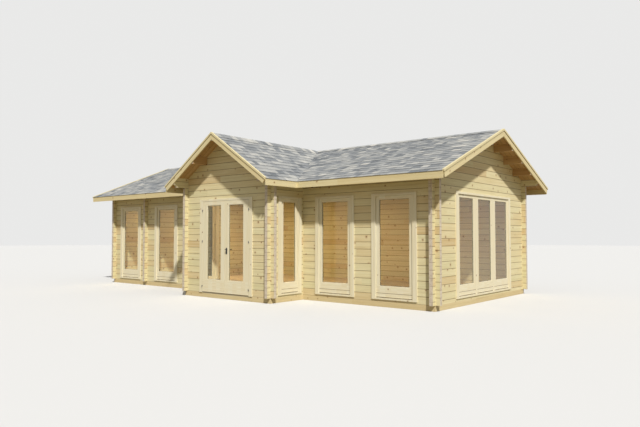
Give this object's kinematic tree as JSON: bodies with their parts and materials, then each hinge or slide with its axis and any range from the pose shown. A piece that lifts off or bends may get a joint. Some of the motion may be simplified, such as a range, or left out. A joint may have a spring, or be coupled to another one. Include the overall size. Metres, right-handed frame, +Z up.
{
  "type": "log cabin",
  "caption": "Low log cabin with a pitched shingle roof, a front gable room with a glazed double door, tall casement windows and a glazed end gable.",
  "frame": {"origin": "on the ground, under the middle of the roof's plan", "axes": "+X along the house to its glazed right gable, +Y to the back wall, +Z up"},
  "size_m": [10.829, 5.91, 3.385],
  "materials": {
    "log_pine": "planed, bare",
    "trim_pine": "planed, bare",
    "joinery_pine": "planed, bare",
    "roof_pine": "planed, bare",
    "floor_pine": "planed, bare",
    "base_pine": "sawn, impregnated",
    "asphalt_shingle": "mineral granules",
    "glass": "clear double glazing",
    "hinge_steel": "zinc plated",
    "handle_metal": "black, satin"
  },
  "bodies": {
    "root": {"back_wall": "log_pine", "door_frame": "joinery_pine", "door_side_walls": "log_pine", "eave_fascias": "trim_pine", "floor_boards": "floor_pine", "floor_joists": "base_pine", "foundation_beams": "base_pine", "frame_hinges": "hinge_steel", "front_gable_purlins": "roof_pine", "front_gable_wall": "log_pine", "front_room_left_wall": "log_pine", "front_room_right_wall": "log_pine", "front_wall_left": "log_pine", "front_wall_right": "log_pine", "gable_boards_front": "trim_pine", "gable_boards_left": "trim_pine", "gable_boards_right": "trim_pine", "gable_window_frame": "joinery_pine", "left_gable_wall": "log_pine", "partition_wall_beside": "log_pine", "partition_wall_over": "log_pine", "purlins_back": "roof_pine", "purlins_front": "roof_pine", "ridge_beam": "roof_pine", "ridge_caps": "asphalt_shingle", "right_gable_wall": "log_pine", "roof_boards_back": "roof_pine", "roof_boards_front_gable": "roof_pine", "roof_boards_left": "roof_pine", "roof_boards_right": "roof_pine", "shingles_back": "asphalt_shingle", "shingles_front_gable": "asphalt_shingle", "shingles_left": "asphalt_shingle", "shingles_right": "asphalt_shingle", "valley_rafters": "roof_pine", "window_frames": "joinery_pine", "window_glass": "glass", "window_sashes": "joinery_pine"},
    "left_leaf": {"left_door_leaf": "joinery_pine", "left_door_glass": "glass", "left_leaf_hinges": "hinge_steel"},
    "right_leaf": {"right_door_leaf": "joinery_pine", "right_door_glass": "glass", "right_leaf_hinges": "hinge_steel", "door_handle": "handle_metal"}
  },
  "joints": [
    {"name": "left_leaf_swing", "type": "hinge", "parent": "root", "child": "left_leaf", "pos_m": [-0.002, -2.579, 1], "axis": [0, 0, -1], "range_deg": [0, 100]},
    {"name": "right_leaf_swing", "type": "hinge", "parent": "root", "child": "right_leaf", "pos_m": [1.413, -2.579, 1], "axis": [0, 0, 1], "range_deg": [0, 100]}
  ]
}
